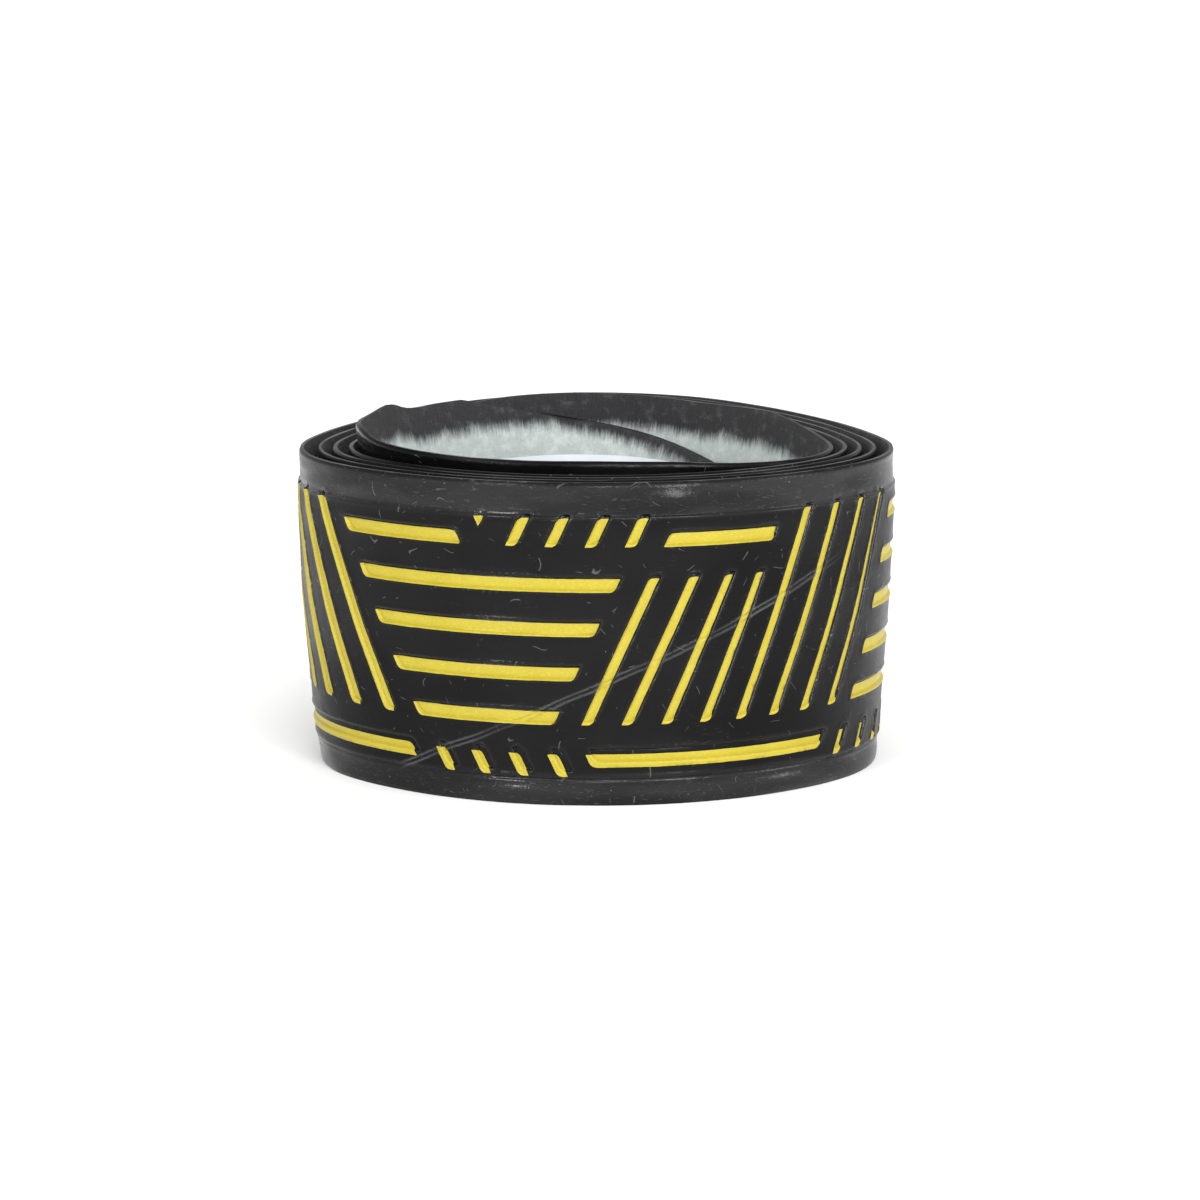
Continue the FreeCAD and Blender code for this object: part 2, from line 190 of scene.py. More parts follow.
# The inner turns have slid up along the coil's axis: (place along the strip, distance up).
RISE = [(40, 0.6), (60, 0.7), (74, 0.85), (82, 1.0), (88, 1.35), (93, 1.5), (96, 1.48),
        (98, 1.75), (99.3, 2.1), (100.5, 2.55), (102, 2.42), (104, 2.22), (106, 2.1),
        (109, 2.13), (112, 2.15), (116, 1.38), (120, 1.08), (126, 0.7), (131, 0.6),
        (137, 0.62), (143, 0.5),
        (149, 0.15), (156, 0.0), (166, 0.0), (172, 0.4), (179, 1.0), (184, 0.75), (187, 0.62),
        (190, 0.52), (193, 0.52), (203, 0.72), (212, 0.7), (222, 0.4), (234, 0.0)]
STEPS = np.arange(-10.0, LENGTH + 10.0, 0.5)
SOFTEN = np.exp(-(np.arange(-3, 3.1, 0.5) / 1.0) ** 2)
LIFTED = np.convolve(np.interp(STEPS, *np.array(RISE, float).T), SOFTEN / SOFTEN.sum(),
                     mode="same")
PASSES = [0.0] + [float(STARTS[8 + 6 * k]) for k in range(TURNS)]


def lift(s):
    """How far a turn has slid up at a place along the strip."""
    return np.interp(s, STEPS, LIFTED)


def lean(s, across, z):
    """How far each turn's upper part leans out: more for each turn that lies outside it."""
    outside = np.interp(s, PASSES, [4.6, 4, 3, 2, 1, 0])
    flare = 0.6 * np.exp(-((s - 108.0) / 14.0) ** 2)
    return ((0.15 + 0.05 * across) * outside + flare) * ease((z - 20) / 8)


def bulge(s, x, z):
    """The outer turn's sides swell above the middle, and its left side draws in at the foot."""
    swell = 0.013 * ease((z - 4) / 12) - 0.006 * ease((z - 23) / 4)
    swell -= 0.010 * ease((5 - z) / 4) * (x < 0)
    return 1 + swell * ease((s - FRONT + 100) / 40)


def place(s, out, z):
    """Points of the coil in metres, from place along the strip, height off its face, and z."""
    s, out, z = np.broadcast_arrays(np.asarray(s, float), np.asarray(out, float),
                                    np.asarray(z, float))
    p = np.stack([np.interp(s, PATH_S, PATH_P[:, k]) for k in range(2)], -1)
    n = np.stack([np.interp(s, PATH_S, PATH_N[:, k]) for k in range(2)], -1)
    xy = p + n * (out + lean(s, n[..., 0], z))[..., None]
    grow = (1 + CONE * (z / WIDTH - 0.5))[..., None]
    xy = (xy - [0, CONE_AXIS_Y]) * grow + [0, CONE_AXIS_Y]
    xy[..., 0] *= bulge(s, xy[..., 0], z)
    return np.concatenate([xy, (z + lift(s))[..., None]], -1) * MM


def top_edge(s):
    """The strip's upper edge: a straight slope up from the tip, then full width."""
    return np.clip(TIP_WIDTH + (WIDTH - TIP_WIDTH) * np.asarray(s, float) / TAPER, 0, WIDTH)


# ---------------------------------------------------------------- the embossed bars
PERIOD = 96.1
CENTRE = -9.95
LEAN = 0.45
NARROW, WIDE, GAP = 6.27, 11.95, 2.37
STROKE, STROKE_PITCH = 0.9, 3.45
BAR = 1.12
ROW0, ROW_PITCH, ROW_TOP = 7.1, 3.84, 19.74
UPPER, LOWER = 22.45, 3.4
UPPER_LIMIT, LOWER_LIMIT = 24.95, 2.56
DASH_BOTTOM, DASH_TOP = 22.5, 4.5
SLIP_FOOT, SLIP_STROKE, SLIP_BAR = (0.36, 0.48), (0.16, 0.28), (0.12, 0.14)


def stroke(left, low, high, lean, at):
    """A narrow upright bar that leans, given its left side at one height."""
    a, b = left + lean * (low - at), left + lean * (high - at)
    return [(a, low), (a + STROKE, low), (b + STROKE, high), (b, high)]


def bar(left, right, low, lean_left, lean_right):
    """A level bar with slanted ends."""
    return [(left, low), (right, low), (right + lean_right * BAR, low + BAR),
            (left + lean_left * BAR, low + BAR)]


def triangle(middle, base, tall):
    """The small tip left where a bar is cut off at a border."""
    points = [(middle - 0.38, base), (middle + 0.38, base), (middle, base + tall)]
    return points if tall > 0 else points[::-1]


def one_period(centre):
    """Every bar of one repeat of the pattern."""
    upright = centre + PERIOD / 2
    rise = UPPER - ROW0
    shapes = []
    for row in range(4):
        low = ROW0 + row * ROW_PITCH
        grow = LEAN * (low - ROW0)
        shapes.append(bar(centre - NARROW - grow, centre + NARROW + grow, low, -LEAN, LEAN))
        shapes.append(bar(upright - WIDE + grow, upright + WIDE - grow, low, LEAN, -LEAN))
    for start, way in ((centre + NARROW + GAP, 1), (upright + WIDE + GAP, -1)):
        for i in range(8):
            top = ROW_TOP if i < 4 else UPPER_LIMIT
            shapes.append(stroke(start + i * STROKE_PITCH, ROW0, top, way * LEAN, ROW0))
        end = start + 3 * STROKE_PITCH + STROKE
        shapes.append(bar(start + way * LEAN * rise, end + way * LEAN * rise, UPPER,
                          way * LEAN, way * LEAN))
    reach = NARROW + LEAN * rise
    shapes.append(bar(centre - reach, centre - 1.7, UPPER, -LEAN, -LEAN))
    shapes.append(triangle(centre, UPPER_LIMIT, -0.9))
    for i in range(4):
        left = centre + reach - STROKE - 0.96 * STROKE_PITCH * i
        shapes.append(stroke(left, DASH_BOTTOM, UPPER_LIMIT, LEAN, DASH_BOTTOM))
    reach = WIDE - LEAN * rise
    shapes.append(bar(upright - reach, upright + reach, UPPER, LEAN, -LEAN))
    for i in range(4):
        left = centre + 0.5 + (i - 1.5) * STROKE_PITCH
        shapes.append(stroke(left, LOWER_LIMIT, DASH_TOP, -LEAN, DASH_TOP))
    shapes.append(bar(centre + 9.5, upright - 15.9, LOWER, -LEAN, LEAN))
    for i in range(4):
        left = upright - 13.1 + i * STROKE_PITCH
        shapes.append(stroke(left, LOWER_LIMIT, DASH_TOP, LEAN, DASH_TOP))
    shapes.append(triangle(upright + 0.6, LOWER_LIMIT, 0.9))
    shapes.append(bar(upright + 2.3, upright + 13.4, LOWER, -LEAN, -LEAN))
    shapes.append(bar(upright + 15.8, centre + PERIOD - 6.8, LOWER, -LEAN, -LEAN))
    return shapes


def stretched(corners):
    """The strip stretches unevenly as it goes round its corners, and the print with it."""
    x, z = corners[:, 0], corners[:, 1]
    left = np.interp(x, [-70, -45, -31, -26, -22.5, -19, -16.5, 0],
                     [0, -2.2, -3.0, -2.3, -1.2, -0.4, 0, 0])
    left = left * (1 - 0.78 * np.clip((z - 7) / 13, 0, 1))
    right = 0.2 + 0.35 * (z < 5.5) + 1.7 * np.clip((z - 7) / 18, 0, 1)
    right = right * ease((x - 8) / 12) * ease((70 - x) / 35)
    return np.stack([x + left - right, z], 1)


def all_bars():
    """Every bar's printed outline as an array of (along, height) corners, counter-clockwise."""
    first = math.floor((0 - FRONT - CENTRE) / PERIOD) - 1
    last = math.ceil((LENGTH - FRONT - CENTRE) / PERIOD) + 1
    bars = []
    for k in range(first, last + 1):
        for shape in one_period(CENTRE + k * PERIOD):
            corners = stretched(np.array(shape)) + [FRONT, 0]
            s = corners[:, 0]
            if s.min() < 6 or s.max() > LENGTH - 0.6:
                continue
            if (corners[:, 1] > top_edge(s) - 0.8).any() and s.min() < TAPER + 2:
                continue
            bars.append(corners)
    return bars


def inset(corners, by):
    """A convex polygon with every side moved in by a distance."""
    lines = []
    for a, b in zip(corners, np.roll(corners, -1, axis=0)):
        d = (b - a) / np.linalg.norm(b - a)
        n = np.array([-d[1], d[0]])
        lines.append((n, n @ a + by))
    found = []
    for (n0, c0), (n1, c1) in zip(lines[-1:] + lines[:-1], lines):
        found.append(np.linalg.solve(np.array([n0, n1]), [c0, c1]))
    return np.array(found)


def soften(corners, radius):
    """A convex polygon with its blunt corners rounded off and its sharp ones left."""
    outline = []
    for i in range(len(corners)):
        before, here, after = corners[i - 1], corners[i], corners[(i + 1) % len(corners)]
        a, b = before - here, after - here
        a, b = a / np.linalg.norm(a), b / np.linalg.norm(b)
        half = math.acos(np.clip(a @ b, -1, 1)) / 2
        if half < math.radians(47):
            outline.append(here)
            continue
        tangent = radius / math.tan(half)
        middle = here + (a + b) / np.linalg.norm(a + b) * radius / math.sin(half)
        from_angle = math.atan2(*(here + a * tangent - middle)[::-1])
        turn = math.pi - 2 * half
        for j in range(4):
            angle = from_angle + turn * j / 3
            outline.append(middle + radius * np.array([math.cos(angle), math.sin(angle)]))
    return np.array(outline)


def rounded(core, radius, step, corner_points):
    """The outline at a radius round a convex core, with its straight sides divided."""
    count = len(core)
    outline = []
    for i in range(count):
        before, here, after = core[i - 1], core[i], core[(i + 1) % count]
        d0, d1 = here - before, after - here
        a0 = math.atan2(-d0[0], d0[1])
        a1 = math.atan2(-d1[0], d1[1])
        turn = (a1 - a0) % (2 * math.pi)
        arcs = max(1, round(corner_points * turn / 2))
        for j in range(arcs + 1):
            a = a0 + turn * j / arcs
            outline.append(here + radius * np.array([math.cos(a), math.sin(a)]))
        side = np.linalg.norm(d1)
        parts = max(1, int(math.ceil(side / step)))
        start = here + radius * np.array([d1[1], -d1[0]]) / side
        for j in range(1, parts):
            outline.append(start + d1 * j / parts)
    return np.array(outline)


def core_distance(points, core):
    """Distance from points to a convex core, negative inside."""
    count = len(core)
    best = np.full(len(points), 1e9)
    inside = np.full(len(points), -1e9)
    for i in range(count):
        a, b = core[i], core[(i + 1) % count]
        d = b - a
        n = np.array([d[1], -d[0]]) / np.linalg.norm(d)
        t = np.clip(((points - a) @ d) / (d @ d), 0, 1)
        best = np.minimum(best, np.linalg.norm(points - a - t[:, None] * d, axis=1))
        inside = np.maximum(inside, (points - a) @ n)
    return np.where(inside < 0, inside, best)


# ---------------------------------------------------------------- the film's surface
CREASE_A, CREASE_B = np.array([-19.5, 1.9]), np.array([24.9, 21.2])


def crease_ridges(s, z):
    """How strongly each place belongs to the two fold lines that run up across the front."""
    along = CREASE_B - CREASE_A
    size = np.linalg.norm(along)
    x, y = s - FRONT - CREASE_A[0], z - CREASE_A[1]
    t = (x * along[0] + y * along[1]) / size ** 2
    d = (x * along[1] - y * along[0]) / size
    d = d + 0.07 * np.sin(t * 17) + 0.04 * np.sin(t * 51 + 1)
    patchy = 0.62 + 0.38 * np.sin(t * 31) * np.cos(t * 13)
    fade = ease(t / 0.06) * ease((1 - t) / 0.12) * patchy
    upper, lower = np.exp(-((d - 0.21) / 0.08) ** 2), np.exp(-((d + 0.18) / 0.075) ** 2)
    return fade * upper, fade * lower, fade * np.exp(-(d / 0.12) ** 2)


def fold_mark(flat):
    """1 on the tops of the two folds, down to 0 away from them; the film is lightened there as
    a painted highlight and the print darkened as painted shade.
    """
    upper, lower, _ = crease_ridges(flat[:, 0], flat[:, 1])
    return np.clip(np.maximum(upper, lower), 0, 1)


def border_height(s, z):
    """The height of the plain borders, their creases and the rounded long edges."""
    top = ease((z - TOP_LINE) / 0.16)
    low = ease((BOTTOM_LINE - z) / 0.16)
    lip_top = 0.05 * np.exp(-((z - TOP_LINE + 0.14) / 0.12) ** 2)
    lip_low = 0.07 * np.exp(-((z - BOTTOM_LINE - 0.16) / 0.13) ** 2)
    bead = 0.07 * np.exp(-((z - BOTTOM_LINE + 0.42) / 0.12) ** 2)
    edge = 0.10 * (ease((z - WIDTH + 0.28) / 0.28) + ease((0.28 - z) / 0.28))
    return lip_top + lip_low + bead - edge - RECESS * np.maximum(top, low)


# Soft swellings of the borders: (along from the front's middle, up, half length, half height,
# how far out).
SWELLS = [(6.5, 26.3, 3.4, 0.75, 0.30), (-6.0, 1.1, 4.5, 0.7, 0.28),
          (18.5, 1.0, 6.0, 0.8, 0.34), (-24.0, 26.4, 5.0, 0.8, 0.12),
          (33.0, 1.2, 4.0, 0.7, 0.14)]


def film_height(points, grooves):
    """How far the film's face stands off the reference face, and 1 on the grooves' rims."""
    s, z = points[:, 0], points[:, 1]
    upper, lower, valley = crease_ridges(s, z)
    height = border_height(s, z) + 0.13 * upper + 0.10 * lower - 0.07 * valley
    height += 0.07 * noise(s, z, 11, 8, 21) * ease((z - 2.6) / 2) * ease((25 - z) / 2)
    height += 0.02 * noise(s, z, 2.6, 1.9, 22)
    border = np.maximum(ease((z - TOP_LINE) / 0.5), ease((BOTTOM_LINE - z) / 0.5))
    height += 0.09 * border * noise(s, z, 6.5, 1.8, 23)
    for along, up, long, tall, out in SWELLS:
        height += out * np.exp(-((s - FRONT - along) / long) ** 2 - ((z - up) / tall) ** 2)
    order = np.argsort(s)
    sorted_s = s[order]
    sunk, raised, rubbed = np.zeros(len(s)), np.zeros(len(s)), np.zeros(len(s))
    reach = 3 * LIP_REACH
    for core, radius in grooves:
        low = np.searchsorted(sorted_s, core[:, 0].min() - radius - reach)
        high = np.searchsorted(sorted_s, core[:, 0].max() + radius + reach)
        near = order[low:high]
        near = near[(z[near] > core[:, 1].min() - radius - reach)
                    & (z[near] < core[:, 1].max() + radius + reach)]
        d = core_distance(points[near], core) - radius
        dip = np.where(d < WALL / 2, GROOVE * ease((WALL / 2 - d) / WALL), 0)
        dip -= CROWN * (1 - (1 - np.clip(-d / CROWN_REACH, 0, 1)) ** 2)
        sunk[near] = np.maximum(sunk[near], dip)
        lip = LIP * np.exp(-((d - LIP_REACH) / (LIP_REACH * 0.75)) ** 2)
        raised[near] = np.maximum(raised[near], np.where(d > WALL / 2, lip, 0))
        rubbed[near] = np.maximum(rubbed[near], np.exp(-((d - 0.06) / 0.14) ** 2))
    return height - sunk + raised, rubbed


def film_back(z):
    """The film's back face: a little deeper under the borders."""
    edge = np.maximum(ease((z - TOP_LINE + 0.1) / 0.3), ease((BOTTOM_LINE + 0.1 - z) / 0.3))
    return FILM_BACK + FILM_EDGE_BACK * edge


def strip_surface():
    """The film's face in the flat, cut along every bar and along each place it is divided."""
    rng = np.random.default_rng(5)
    bars = all_bars()
    points, loops, grooves = [], [], []
    kinds = []

    def add(outline, kind):
        start = sum(len(p) for p in points)
        points.append(outline)
        loops.append(list(range(start, start + len(outline))))
        kinds.append(kind)

    around, crown = [], []
    for corners in bars:
        fine = corners[:, 0].mean() > LENGTH - DETAILED
        step, round_points = (0.6, 4) if fine else (1.6, 2)
        radius, blunt = (0.10, 0.62) if len(corners) == 4 else (0.08, 0.0)
        slip = SLIP_BAR
        if corners[:, 1].mean() < 5:
            slip = SLIP_FOOT
        elif np.ptp(corners[:, 1]) > 2:
            slip = SLIP_STROKE
        core = soften(inset(corners + slip, radius), blunt)
        grooves.append((core, radius))
        add(rounded(core, radius + WALL / 2, step, round_points), "rim")
        if fine:
            add(rounded(core, radius, step, round_points), "wall")
            around += [rounded(core, radius + away, step, round_points)
                       for away in (0.16, 0.26, 0.42)]
            if len(corners) == 4:
                crown += [inset(core, away) for away in (0.10, 0.20)]
        add(rounded(core, radius - WALL / 2, step, round_points), "floor")
        ink = rounded(soften(inset(corners, 0.05), blunt), 0.05, step, round_points)
        add(ink + rng.normal(0, 0.007, ink.shape), "ink")
    cuts = piece_ends()[1:-1]
    rows = np.array([0, 0.07, 0.16, 0.3, 0.6, 1.1, 1.6, 1.85, 1.95, 2.04, 2.13, 2.22, 2.3,
                     2.36, 2.42, 2.48, 2.56, 2.65, 2.8, 3.0] +
                    list(np.arange(3.4, 24.6, 0.7)) +
                    [24.72, 24.82, 24.92, 25.0, 25.06, 25.12, 25.17, 25.22, 25.4, 25.8, 26.4,
                     27.0, 27.5, 27.75, 27.84, 27.92, 28.0])
    columns = np.unique(np.concatenate([
        np.arange(0, LENGTH - DETAILED, 1.25), np.arange(LENGTH - DETAILED, LENGTH, 0.65),
        cuts, [TAPER, LENGTH]]))
    grid = np.stack(np.meshgrid(columns, rows), -1).reshape(-1, 2)
    grid = grid[grid[:, 1] < top_edge(grid[:, 0]) - 0.15]
    grid = np.concatenate([grid, np.stack([columns, top_edge(columns)], 1)])
    t, d = np.meshgrid(np.arange(0, 1, 0.006), np.arange(-0.84, 0.85, 0.08))
    along = CREASE_B - CREASE_A
    across = np.array([along[1], -along[0]]) / np.linalg.norm(along)
    ridge = ((FRONT, 0) + CREASE_A + t.reshape(-1, 1) * along + d.reshape(-1, 1) * across)
    halo = np.concatenate(around + [rounded(c, 0.001, 0.6, 1) for c in crown])
    halo = halo[(halo[:, 1] > 2.7) & (halo[:, 1] < 24.8) & (halo[:, 0] < LENGTH - 0.2)]
    extra = np.concatenate([grid, ridge[(ridge[:, 1] > 0.4) & (ridge[:, 1] < 27.6)], halo])
    crowded = np.zeros(len(extra), bool)
    order = np.argsort(extra[:, 0])
    sorted_s = extra[order, 0]
    on_edge = ((extra[:, 1] < 0.01) | (extra[:, 1] > top_edge(extra[:, 0]) - 0.01)
               | np.isin(np.round(extra[:, 0], 6), np.round(cuts, 6)))
    for core, radius in grooves:
        low = np.searchsorted(sorted_s, core[:, 0].min() - 1)
        high = np.searchsorted(sorted_s, core[:, 0].max() + 1)
        near = order[low:high]
        d = core_distance(extra[near], core) - radius
        crowded[near[np.abs(d) < 0.09]] = True
    extra = extra[~crowded | on_edge]
    start = sum(len(p) for p in points)
    points.append(extra)
    start += len(extra)
    for s in cuts:
        points.append(np.array([[s, 0.0], [s, WIDTH]]))
        loops.append([start, start + 1])
        start += 2
        kinds.append("cut")
    outline = np.array([[0, 0], [LENGTH, 0], [LENGTH, WIDTH], [TAPER, WIDTH], [0, TIP_WIDTH]])
    points.append(outline)
    edges = [[start + i, start + (i + 1) % 5] for i in range(5)]
    edges += [loop for loop, kind in zip(loops, kinds) if kind == "cut"]
    faces = [loop for loop, kind in zip(loops, kinds) if kind != "cut"]
    inks = {i for i, kind in enumerate(k for k in kinds if k != "cut") if kind == "ink"}
    allp = np.concatenate(points)
    made = delaunay_2d_cdt([Vector(p) for p in allp], edges, faces, 0, 1e-5, True)
    verts = np.array([v[:] for v in made[0]])
    tris = np.array(made[2])
    middle = verts[tris].mean(axis=1)
    keep = (middle[:, 1] < top_edge(middle[:, 0])) & (middle[:, 0] > 0)
    inked = np.array([any(f in inks for f in made[5][i]) for i in range(len(tris))])
    return verts, tris[keep], inked[keep], *film_height(verts, grooves)


def piece_ends():
    """Where the strip is divided: the coil, then one piece over each tail joint."""
    joints = [TAIL + i * SEGMENT for i in range(SEGMENTS)]
    return np.array([0.0] + [s - SEGMENT / 2 for s in joints] + [LENGTH])


def boundary(tris):
    """The directed edges that only one triangle uses."""
    edges = np.concatenate([tris[:, [0, 1]], tris[:, [1, 2]], tris[:, [2, 0]]])
    key = edges[:, 0].astype(np.int64) * 10 ** 7 + edges[:, 1]
    back = edges[:, 1].astype(np.int64) * 10 ** 7 + edges[:, 0]
    return edges[~np.isin(key, back)]


def shell(verts, tris, front, back):
    """A closed solid between two faces of the strip over the same triangles."""
    used, again = np.unique(tris, return_inverse=True)
    tris = again.reshape(-1, 3)
    flat = verts[used]
    count = len(flat)
    rim = boundary(tris)
    quads = np.stack([rim[:, 1], rim[:, 0], rim[:, 0] + count, rim[:, 1] + count], 1)
    points = np.concatenate([place(flat[:, 0], front[used], flat[:, 1]),
                             place(flat[:, 0], back[used], flat[:, 1])])
    faces = tris.tolist() + (tris[:, ::-1] + count).tolist() + quads.tolist()
    uv = np.concatenate([flat, flat])
    return points, faces, uv


def build(name, points, faces, uv, material, sharp=60):
    """A mesh object whose UV map is the flat strip, in units of 100 mm."""
    mesh = bpy.data.meshes.new(name)
    mesh.from_pydata(points.tolist(), [], faces)
    mesh.update()
    layer = mesh.uv_layers.new(name="UVMap")
    index = np.empty(len(mesh.loops), np.int32)
    mesh.loops.foreach_get("vertex_index", index)
    layer.data.foreach_set("uv", (uv[index] * 0.01).astype(np.float32).ravel())
    mesh.shade_smooth()
    mesh.set_sharp_from_angle(angle=math.radians(sharp))
    mesh.materials.append(material)
    obj = bpy.data.objects.new(name, mesh)
    bpy.context.scene.collection.objects.link(obj)
    return obj


def store(obj, name, values):
    """Keep one number per vertex for the piece's material to read."""
    attribute = obj.data.attributes.new(name, "FLOAT", "POINT")
    attribute.data.foreach_set("value", np.asarray(values).reshape(-1).astype(np.float32))


# ---------------------------------------------------------------- felt, adhesive and liner
def noise(s, z, size_s, size_z, seed):
    """Smooth random values from -1 to 1 over the flat strip."""
    rng = np.random.default_rng(seed)
    table = rng.uniform(-1, 1, (64, 64))
    x, y = np.asarray(s) / size_s + 500, np.asarray(z) / size_z + 500
    i, j = np.floor(x).astype(int), np.floor(y).astype(int)
    u, v = x - i, y - j
    u, v = u * u * (3 - 2 * u), v * v * (3 - 2 * v)
    a, b = table[i % 64, j % 64], table[(i + 1) % 64, j % 64]
    c, d = table[i % 64, (j + 1) % 64], table[(i + 1) % 64, (j + 1) % 64]
    return (a * (1 - u) + b * u) * (1 - v) + (c * (1 - u) + d * u) * v


def edge_distance(s, z):
    """How far a point on the strip is from its nearest edge."""
    return np.minimum(z, (top_edge(s) - z) * np.where(s < TAPER, TAPER_COS, 1.0))


UNDYED_CUT = 1.9


def dye_distance(s, z):
    """Distance that sets how far the black dye reaches: little along the later, tapered cut."""
    cut = (top_edge(s) - z) * TAPER_COS + np.where(s < TAPER, UNDYED_CUT, 0)
    return np.minimum(np.minimum(z, WIDTH - z), cut)


def felt_inner(s, z):
    """The felt's free face: skived thin along its long edges, and fibrous."""
    e = edge_distance(s, z)
    flat = np.interp(e, [0, 0.4, 1.2, 2.2, 3.4], [-0.60, -0.78, -0.96, -1.09, -1.14])
    rough = (0.03 * noise(s, z, 0.9, 2.6, 1) + 0.022 * noise(s, z, 0.45, 0.7, 2)
             + 0.02 * noise(s, z, 6, 6, 3))
    return flat + rough * (0.35 + 0.65 * np.clip(e / 3.4, 0, 1))


def band(name, start, end, step, low, high, outer, inner, rows, material):
    """A closed strip of one layer. outer and inner give its two faces from (s, z)."""
    count = max(2, int(math.ceil((end - start) / step)) + 1)
    s = np.linspace(start, end, count)
    v = 0.5 - 0.5 * np.cos(np.linspace(0, math.pi, rows))
    v = 0.5 * v + 0.5 * np.linspace(0, 1, rows)
    ss, vv = np.meshgrid(s, v, indexing="ij")
    bottom, top = low(ss), high(ss)
    z = bottom + (top - bottom) * vv
    out_points = place(ss, outer(ss, z), z)
    in_points = place(ss, inner(ss, z), z)
    ring = np.concatenate([out_points, in_points[:, ::-1]], axis=1)
    flat = np.stack([ss, z], -1)
    uv = np.concatenate([flat, flat[:, ::-1]], axis=1)
    around = ring.shape[1]
    i, j = np.meshgrid(np.arange(count - 1), np.arange(around), indexing="ij")
    a, b = i * around + j, i * around + (j + 1) % around
    faces = np.stack([a, a + around, b + around, b], -1).reshape(-1, 4).tolist()
    for at, flip in ((0, False), (count - 1, True)):
        for k in range(rows - 1):
            quad = [k, k + 1, around - 2 - k, around - 1 - k]
            quad = [at * around + q for q in quad]
            faces.append(quad[::-1] if flip else quad)
    obj = build(name, ring.reshape(-1, 3), faces, uv.reshape(-1, 2), material)
    store(obj, "dye_mm", dye_distance(uv[..., 0], uv[..., 1]))
    return obj


def widths(half):
    """The lower and upper edge of a band on the strip's middle, cut by the tapered end."""
    low, high = WIDTH / 2 - half, WIDTH / 2 + half

    def bottom(s):
        return np.full_like(np.asarray(s, float), low)

    def top(s):
        return np.clip(top_edge(s) - 0.3, low + 0.05, high)
    return bottom, top


# ---------------------------------------------------------------- materials
class Nodes:
    """A material's node tree, with short calls for the nodes used here."""

    def __init__(self, name):
        self.material = bpy.data.materials.new(name)
        self.material.use_nodes = True
        self.tree = self.material.node_tree
        self.shader = self.tree.nodes["Principled BSDF"]
        self.flat = self.node("ShaderNodeUVMap", uv_map="UVMap").outputs["UV"]

    def node(self, kind, **settings):
        made = self.tree.nodes.new(kind)
        for key, value in settings.items():
            setattr(made, key, value)
        return made

    def link(self, source, target):
        self.tree.links.new(source, target)

    def feed(self, socket, value):
        if isinstance(value, bpy.types.NodeSocket):
            self.link(value, socket)
        else:
            socket.default_value = value

    def stretch(self, across, up):
        """The flat strip's coordinates in units of (across, up) millimetres."""
        made = self.node("ShaderNodeVectorMath", operation="MULTIPLY")
        self.link(self.flat, made.inputs[0])
        made.inputs[1].default_value = (100 / across, 100 / up, 1)
        return made.outputs[0]

    def axis(self, name):
        """One coordinate on the flat strip, in millimetres: X along it, Y up it."""
        made = self.node("ShaderNodeSeparateXYZ")
        self.link(self.stretch(1, 1), made.inputs[0])
        return made.outputs[name]

    def stored(self, name):
        """A number that store() keeps on the piece's vertices."""
        return self.node("ShaderNodeAttribute", attribute_name=name).outputs["Fac"]

    def noise(self, across, up, detail=3, rough=0.55, warp=0.0):
        made = self.node("ShaderNodeTexNoise")
        self.link(self.stretch(across, up), made.inputs["Vector"])
        made.inputs["Scale"].default_value = 1.0
        made.inputs["Detail"].default_value = detail
        made.inputs["Roughness"].default_value = rough
        made.inputs["Distortion"].default_value = warp
        return made.outputs["Fac"]

    def hairs(self, size, gap, share):
        """Thin curved lines with gaps in them, for lint."""
        wander = self.noise(size, size, 0, 0.5, 0.5)
        off = self.math("ABSOLUTE", self.math("SUBTRACT", wander, 0.5))
        return self.math("MULTIPLY", self.ramp(off, 0.002, 0.0085, 1.0, 0.0),
                         self.ramp(self.noise(gap, gap * 0.8, 1), share, share + 0.04))

    def cells(self, size):
        made = self.node("ShaderNodeTexVoronoi")
        self.link(self.stretch(size, size), made.inputs["Vector"])
        made.inputs["Scale"].default_value = 1.0
        return made

    def math(self, operation, a, b=0.0, clamp=False):
        made = self.node("ShaderNodeMath", operation=operation, use_clamp=clamp)
        self.feed(made.inputs[0], a)
        self.feed(made.inputs[1], b)
        return made.outputs[0]

    def ramp(self, value, low, high, to_low=0.0, to_high=1.0):
        made = self.node("ShaderNodeMapRange", interpolation_type="SMOOTHSTEP")
        self.feed(made.inputs["Value"], value)
        made.inputs["From Min"].default_value = low
        made.inputs["From Max"].default_value = high
        made.inputs["To Min"].default_value = to_low
        made.inputs["To Max"].default_value = to_high
        return made.outputs["Result"]

    def mix(self, amount, a, b):
        made = self.node("ShaderNodeMix", data_type="RGBA")
        self.feed(made.inputs[0], amount)
        self.feed(made.inputs[6], a if isinstance(a, bpy.types.NodeSocket) else (*a, 1))
        self.feed(made.inputs[7], b if isinstance(b, bpy.types.NodeSocket) else (*b, 1))
        return made.outputs[2]

    def bump(self, height, strength, distance, normal=None):
        made = self.node("ShaderNodeBump")
        made.inputs["Strength"].default_value = strength
        made.inputs["Distance"].default_value = distance
        self.link(height, made.inputs["Height"])
        if normal is not None:
            self.link(normal, made.inputs["Normal"])
        return made.outputs["Normal"]

    def set(self, **values):
        for key, value in values.items():
            self.feed(self.shader.inputs[key.replace("_", " ")], value)


